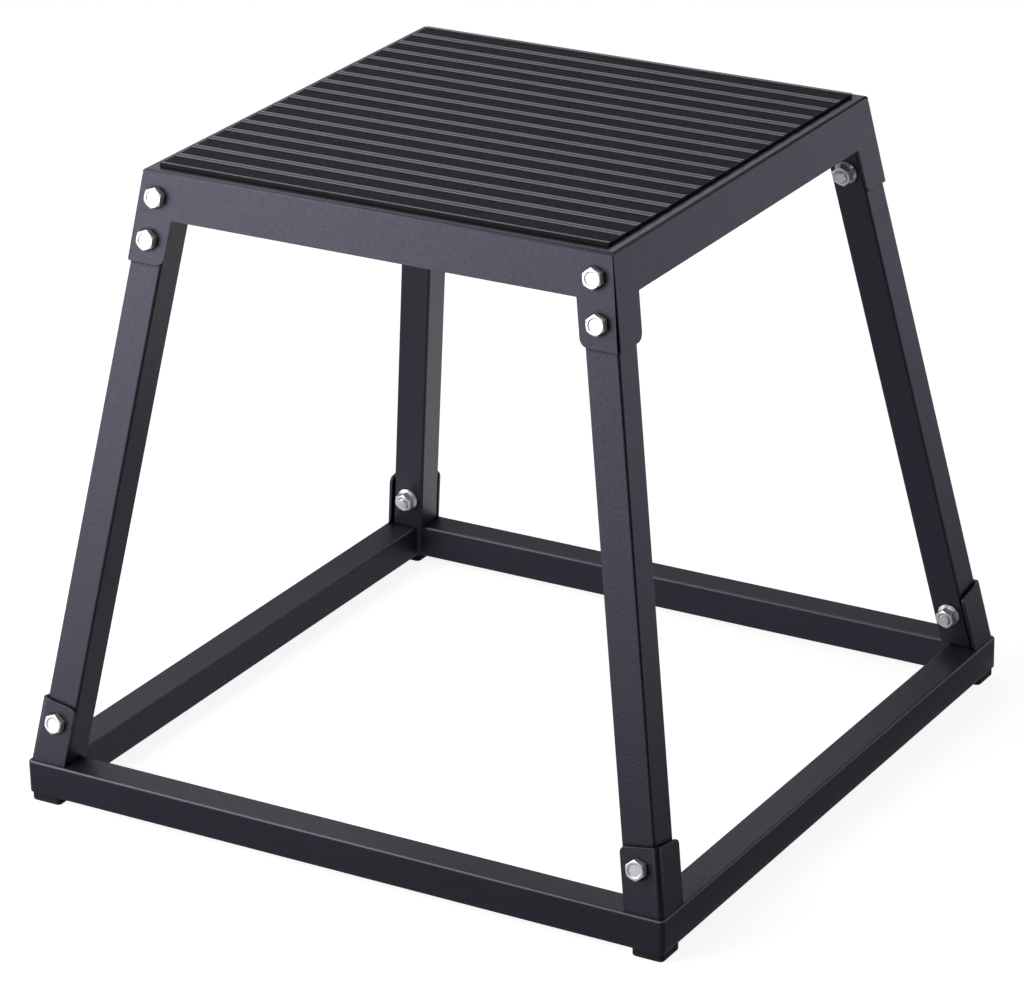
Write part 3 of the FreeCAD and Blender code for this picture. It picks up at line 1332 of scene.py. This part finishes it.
@dataclass
class Studio:
    """Pale floor, painted reflections, soft lights and the camera."""

    azimuth: float = 0.5398
    elevation: float = 0.3988
    roll: float = -0.0205
    distance: float = 3.32119
    target: Point = (-0.006514, 0.001177, 0.186713)
    focal_pixels: float = 4708.63
    image_width: int = 1024
    sensor: float = 36.0
    floor_span: float = 40.0
    floor_colour: Colour = (0.50, 0.50, 0.50)
    floor_drop: float = 0.0002
    backdrop_lift: float = 0.88
    ambient: float = 0.15
    # Painted reflections: on the floor, darker patches paint the box's shadow and a dark floor into
    # its gloss, and one bright patch far to the rear right paints light; upright and overhead ones
    # paint dark surroundings.
    flags: tuple[Flag, ...] = (
        Flag("painted_reflection_floor_front_near", (0.18, -0.36, 0.0), (0.96, 0.20), 0.25),
        Flag("painted_reflection_floor_front_far", (0.18, -0.66, 0.0), (0.96, 0.40), 0.02),
        Flag("painted_reflection_floor_corner", (1.16, -0.70, 0.0), (1.0, 1.20), 0.0),
        Flag("painted_reflection_floor_right_near", (0.41, 0.045, 0.0), (0.30, 0.61), 0.16),
        Flag("painted_reflection_floor_right_far", (0.71, 0.125, 0.0), (0.30, 0.45), 0.50),
        Flag("painted_reflection_floor_rear_right", (0.56, 0.875, 0.0), (0.60, 1.05), 0.38),
        Flag("painted_reflection_floor_rear_far", (1.5, 1.8, 0.0), (1.28, 2.0), 1.2, (0.93, 0.90, 1.15)),
        Flag("painted_reflection_floor_left", (-0.80, 0.22, 0.0), (1.0, 1.15), 0.42),
        Flag("painted_reflection_floor_under", (0.0, 0.0, 0.0002), (0.52, 0.52), 0.38),
        Flag("painted_reflection_rear_left", (-0.66, 1.11, 0.42), (1.7, 0.84), 0.12),
        Flag("painted_reflection_rear_right", (0.55, 1.9, 1.35), (2.2, 1.5), 0.05),
        Flag("painted_reflection_front_right", (1.0, -0.8, 0.6), (2.6, 1.4), 0.0),
        Flag("painted_reflection_ceiling", (0.0, 0.0, 2.2), (2.4, 2.4), 0.1),
    )
    lights: tuple[SoftBox, ...] = (
        SoftBox("key_front_left", (-1.0, -1.30, 0.75), (0, 0, 0.3), 1.25, 16.7),
        SoftBox("rear_left", (-0.72, 1.0, 1.36), (0, 0, 0.45), 0.95, 2.4),
        SoftBox("overhead", (-0.80, -0.65, 1.65), (0, 0, 0.45), 1.0, 5.0),
    )

    def build(self) -> None:
        """Sets up the stage, the lights, the world and the camera."""
        self.lay_floor()
        for item in self.flags + self.lights:
            item.build()
        self.light_world()
        self.place_camera()
        bpy.context.scene.view_settings.view_transform = "Standard"

    @staticmethod
    def seen_directly(tree: bpy.types.NodeTree) -> Socket:
        """1 for rays from the camera and for mirrored or refracted ones, and 0 for lighting.

        Args:
            tree: The node tree to add the nodes to.

        Returns:
            The mask.
        """
        rays = tree.nodes.new("ShaderNodeLightPath")
        mask = rays.outputs["Is Camera Ray"]
        for name in ("Is Glossy Ray", "Is Transmission Ray"):
            either = tree.nodes.new("ShaderNodeMath")
            either.operation = "MAXIMUM"
            tree.links.new(mask, either.inputs[0])
            tree.links.new(rays.outputs[name], either.inputs[1])
            mask = either.outputs["Value"]
        return mask

    def lay_floor(self) -> None:
        """Lays the floor, which shows white and keeps the box's shadow."""
        level = Matrix.Translation((0, 0, -self.floor_drop)) @ Matrix.Scale(self.floor_span, 4)
        floor = lay_sheet("studio_floor", level, self.floor_colour)
        tree = floor.active_material.node_tree
        shader = tree.nodes["Principled BSDF"]
        shader.inputs["Emission Color"].default_value = (1, 1, 1, 1)
        lift = tree.nodes.new("ShaderNodeMath")
        lift.operation = "MULTIPLY"
        lift.inputs[1].default_value = self.backdrop_lift
        tree.links.new(self.seen_directly(tree), lift.inputs[0])
        tree.links.new(lift.outputs["Value"], shader.inputs["Emission Strength"])

    def light_world(self) -> None:
        """White surroundings to look at, and a weaker even light."""
        world = bpy.data.worlds.new("studio_world")
        world.use_nodes = True
        tree = world.node_tree
        backdrop = tree.nodes["Background"]
        backdrop.inputs["Color"].default_value = (1, 1, 1, 1)
        level = tree.nodes.new("ShaderNodeMapRange")
        level.inputs["To Min"].default_value = self.ambient
        level.inputs["To Max"].default_value = 1.0
        tree.links.new(self.seen_directly(tree), level.inputs["Value"])
        tree.links.new(level.outputs["Result"], backdrop.inputs["Strength"])
        bpy.context.scene.world = world

    def place_camera(self) -> None:
        """Puts the camera where the photograph was taken from."""
        flat = math.cos(self.elevation)
        side, front = math.sin(self.azimuth), math.cos(self.azimuth)
        back = Vector((side * flat, -front * flat, math.sin(self.elevation)))
        right = (-back).cross(Vector((0, 0, 1))).normalized()
        up = right.cross(-back)
        across = right * math.cos(self.roll) + up * math.sin(self.roll)
        above = up * math.cos(self.roll) - right * math.sin(self.roll)
        turn = Matrix((across, above, back)).transposed().to_4x4()
        lens = bpy.data.cameras.new("camera")
        lens.sensor_width = self.sensor
        lens.lens = self.focal_pixels * self.sensor / self.image_width
        camera = bpy.data.objects.new("camera", lens)
        camera.matrix_world = Matrix.Translation(Vector(self.target) + back * self.distance) @ turn
        bpy.context.scene.collection.objects.link(camera)
        bpy.context.scene.camera = camera


def main() -> None:
    """Builds every sub-assembly, then the studio."""
    logging.basicConfig(level=logging.INFO, format="%(message)s")
    box = BoxSizes()
    finishes: Finishes = {
        Slot.POWDER_COAT: PowderCoat().make(),
        Slot.TREAD_RUBBER: TreadRubber().make(),
        Slot.FOOT_RUBBER: PadRubber().make(),
        Slot.ZINC_PLATE: ZincPlate().make(),
    }
    for kind in (DeckPan, TreadMat, Legs, LegSockets, BaseFrame, Feet, Fasteners):
        for piece in kind(box, finishes).build():
            LOG.info("%s: %s, %d faces", kind.__name__, piece.name, len(piece.data.polygons))
    Studio().build()


if __name__ == "__main__":
    main()
